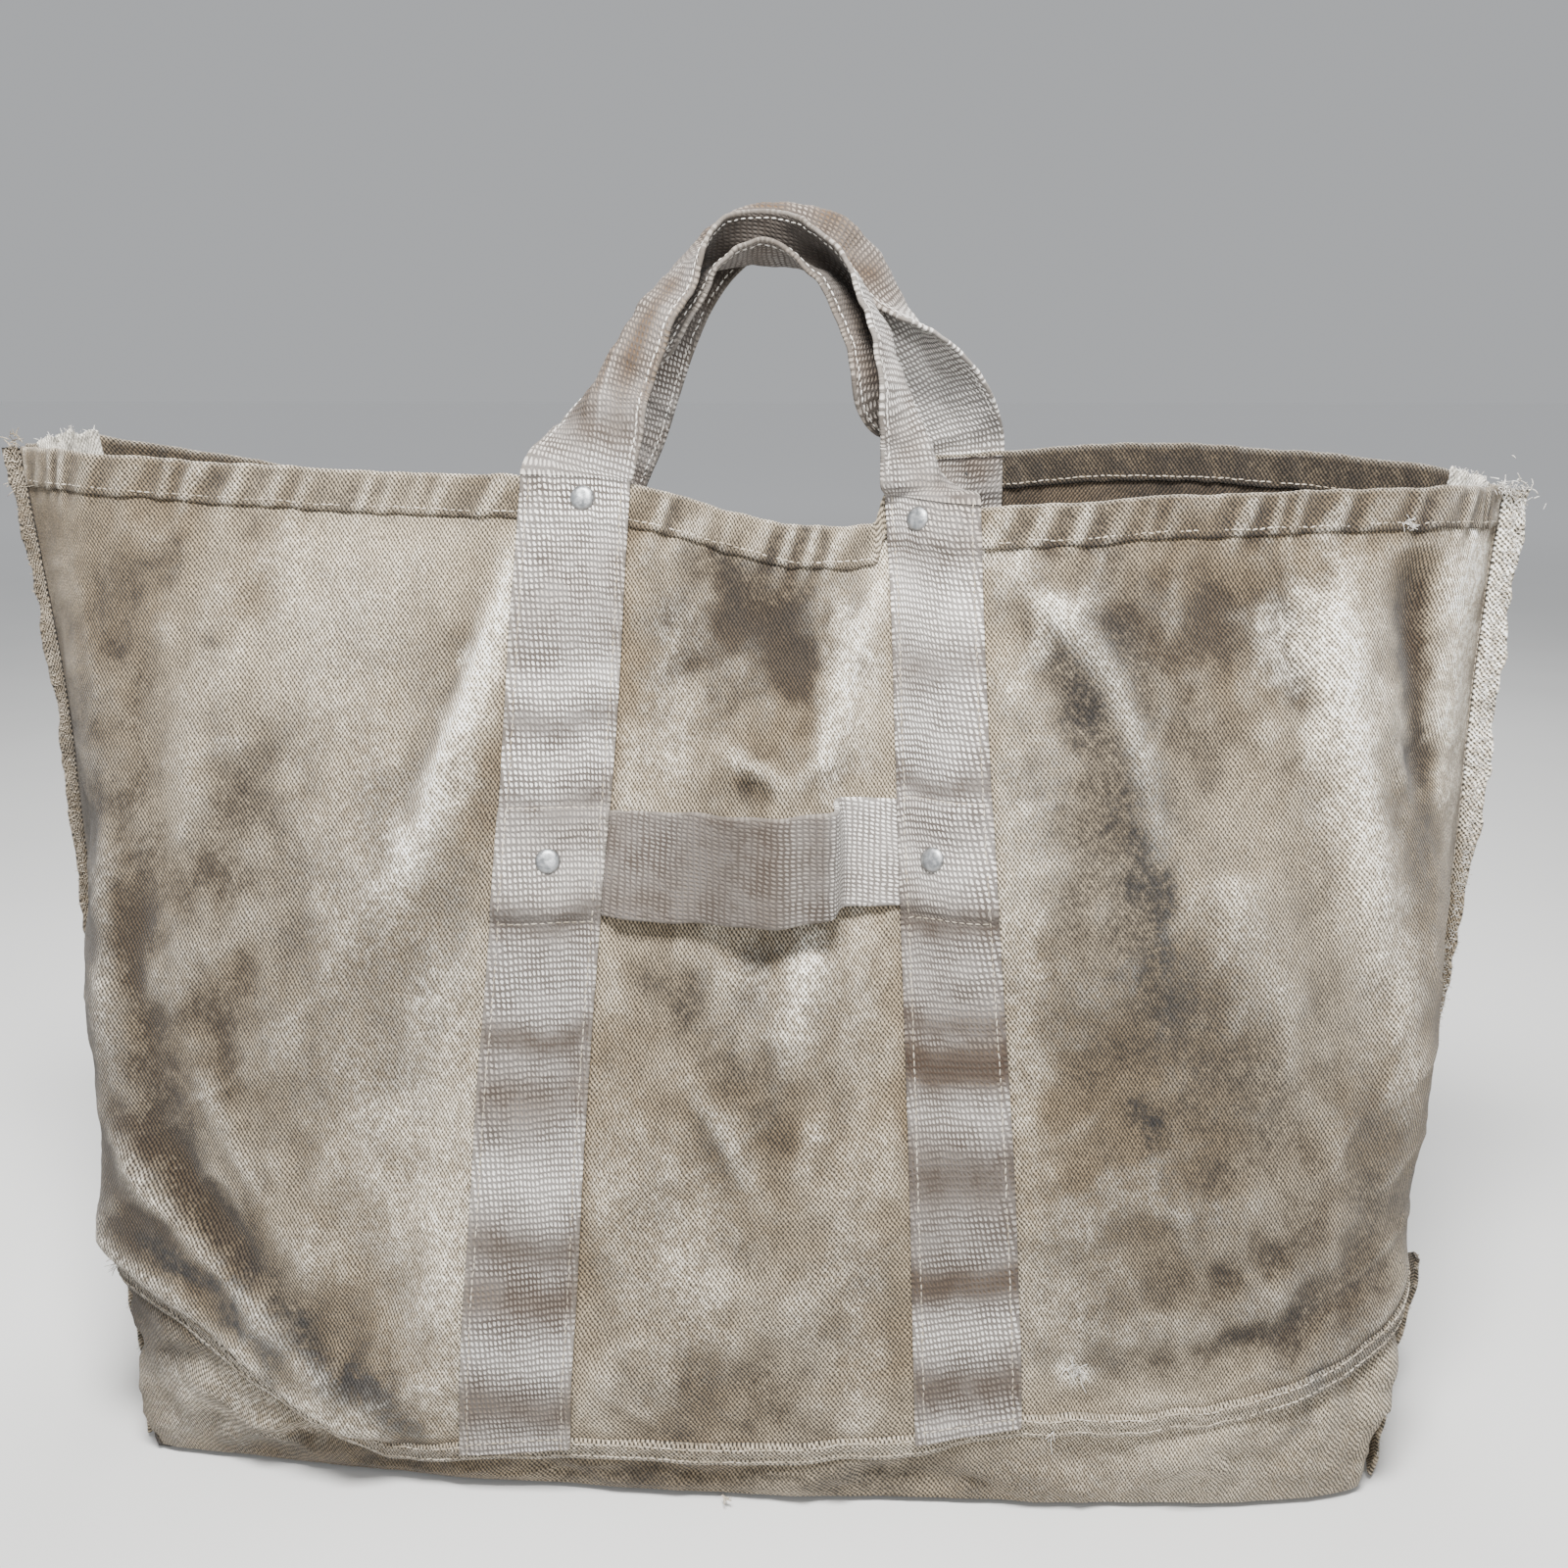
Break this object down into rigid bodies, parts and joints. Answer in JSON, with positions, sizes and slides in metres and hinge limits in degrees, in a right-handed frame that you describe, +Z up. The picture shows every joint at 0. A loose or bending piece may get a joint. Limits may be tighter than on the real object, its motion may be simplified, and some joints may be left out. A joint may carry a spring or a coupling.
{
  "type": "garden tool bag",
  "caption": "Open canvas tote for garden hand tools, on a boxed bottom, with webbing straps, two carrying handles, a slack tool loop and split rivets.",
  "frame": {"origin": "centre of the base, on the floor it stands on", "axes": "+Z up, +X to the right of the front face, +Y to the back"},
  "size_m": [0.753, 0.2251, 0.6005],
  "materials": {
    "canvas": "matte heavy cotton duck, soiled",
    "webbing": "matte woven cotton webbing, soiled",
    "tape": "matte white cotton tape",
    "rivet": "dull zinc"
  },
  "bodies": {
    "bag": {"front_panel": "canvas", "back_panel": "canvas", "bottom_panel": "canvas", "bottom_front_wall": "canvas", "bottom_right_end": "canvas", "bottom_back_wall": "canvas", "bottom_left_end": "canvas", "front_bottom_seam": "canvas", "back_bottom_seam": "canvas", "left_side_seam": "canvas", "right_side_seam": "canvas", "left_corner_ear": "canvas", "right_corner_ear": "canvas", "front_hem": "canvas", "back_hem": "canvas", "left_corner_tape": "tape", "right_corner_tape": "tape", "front_left_strap": "webbing", "front_right_strap": "webbing", "back_left_strap": "webbing", "back_right_strap": "webbing", "front_left_tab": "webbing", "front_right_tab": "webbing", "back_left_tab": "webbing", "back_right_tab": "webbing", "tool_loop": "webbing", "front_left_rim_rivet": "rivet", "front_right_rim_rivet": "rivet", "back_left_rim_rivet": "rivet", "back_right_rim_rivet": "rivet", "front_left_loop_rivet": "rivet", "front_right_loop_rivet": "rivet"},
    "front_handle": {"front_handle": "webbing"},
    "back_handle": {"back_handle": "webbing"}
  },
  "joints": [
    {"name": "front_handle_swing", "type": "hinge", "parent": "bag", "child": "front_handle", "pos_m": [-0.10848, -0.00481, 0.47391], "axis": [0.9977, 0.0194, -0.0657], "range_deg": [0, 150]},
    {"name": "back_handle_swing", "type": "hinge", "parent": "bag", "child": "back_handle", "pos_m": [0.12312, 0.10564, 0.48079], "axis": [-0.9931, 0, -0.117], "range_deg": [0, 150]}
  ]
}
